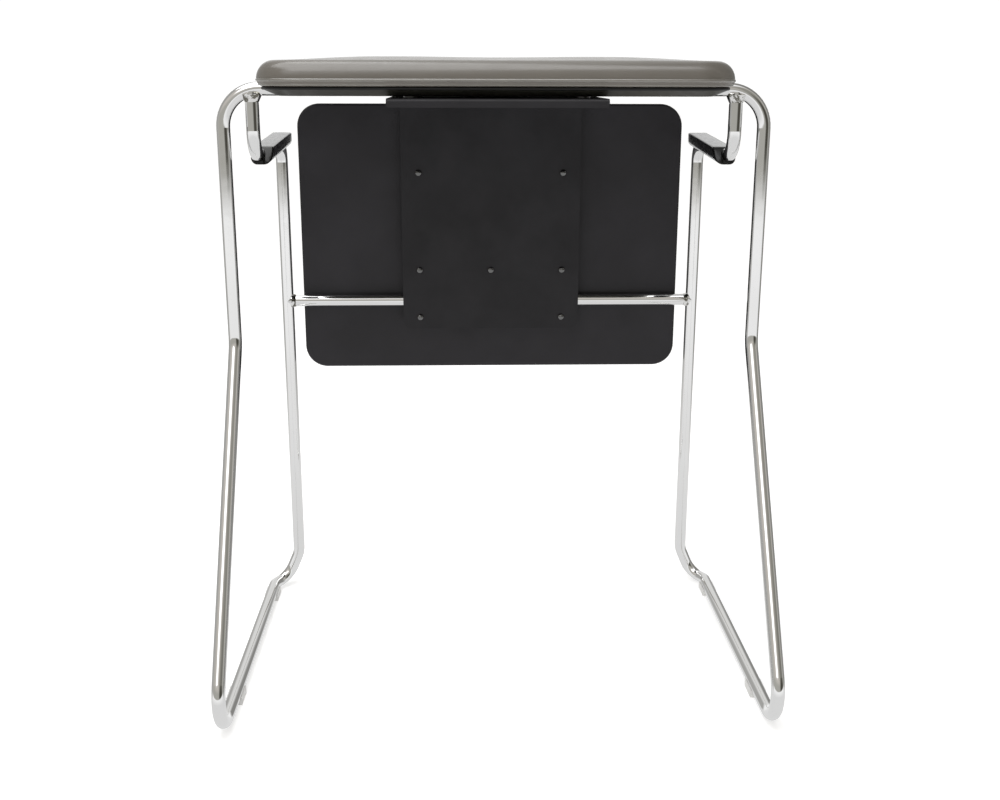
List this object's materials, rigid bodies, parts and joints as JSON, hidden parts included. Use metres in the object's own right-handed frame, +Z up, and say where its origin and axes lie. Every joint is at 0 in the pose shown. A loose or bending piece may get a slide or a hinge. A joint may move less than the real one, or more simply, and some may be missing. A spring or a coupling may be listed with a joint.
{
  "type": "perching stool",
  "caption": "Perching stool: chrome sled-base tube frame with padded seat, side arm pads, folded sheet bracket and hanging back panel.",
  "frame": {"origin": "bottom centre of the whole stool, on the floor", "axes": "+Z up, +Y from the rear posts towards the hanging panel, +X across the stool"},
  "size_m": [0.652, 0.4673, 0.751],
  "materials": {
    "chrome_tube": "bright chrome plate on bent round steel tube",
    "bracket_coat": "black fine-textured powder coat on folded steel sheet",
    "panel_shell": "satin near-black moulded panel",
    "pan_shell": "black moulded seat pan",
    "foam": "dense moulded foam",
    "upholstery": "glossy dark olive-brown upholstery leather",
    "arm_pad_rubber": "black self-skinned arm pad with a satin sheen",
    "dark_fixings": "black domed fixings and bushes",
    "zinc_fixings": "zinc-plated screws and nuts",
    "saddle_nylon": "black nylon saddle blocks",
    "glide_nylon": "translucent grey nylon glides"
  },
  "bodies": {
    "root": {"crossbar": "chrome_tube", "crossbar_welds": "chrome_tube", "left_arm_pad": "arm_pad_rubber", "left_arm_tube": "chrome_tube", "left_front_glide": "glide_nylon", "left_front_leg": "chrome_tube", "left_rear_glide": "glide_nylon", "left_rear_leg": "chrome_tube", "left_runner": "chrome_tube", "panel": "panel_shell", "panel_nuts": "dark_fixings", "panel_screws": "dark_fixings", "panel_spacers": "dark_fixings", "rail_welds": "chrome_tube", "right_arm_pad": "arm_pad_rubber", "right_arm_tube": "chrome_tube", "right_front_glide": "glide_nylon", "right_front_leg": "chrome_tube", "right_rear_glide": "glide_nylon", "right_rear_leg": "chrome_tube", "right_runner": "chrome_tube", "saddle_bolts": "zinc_fixings", "saddle_lower": "saddle_nylon", "saddle_upper": "saddle_nylon", "seat_cover": "upholstery", "seat_foam": "foam", "seat_nuts": "zinc_fixings", "seat_pan": "pan_shell", "seat_screws": "dark_fixings", "seat_spacers": "dark_fixings", "support_bracket": "bracket_coat", "top_rail": "chrome_tube"}
  },
  "joints": []
}
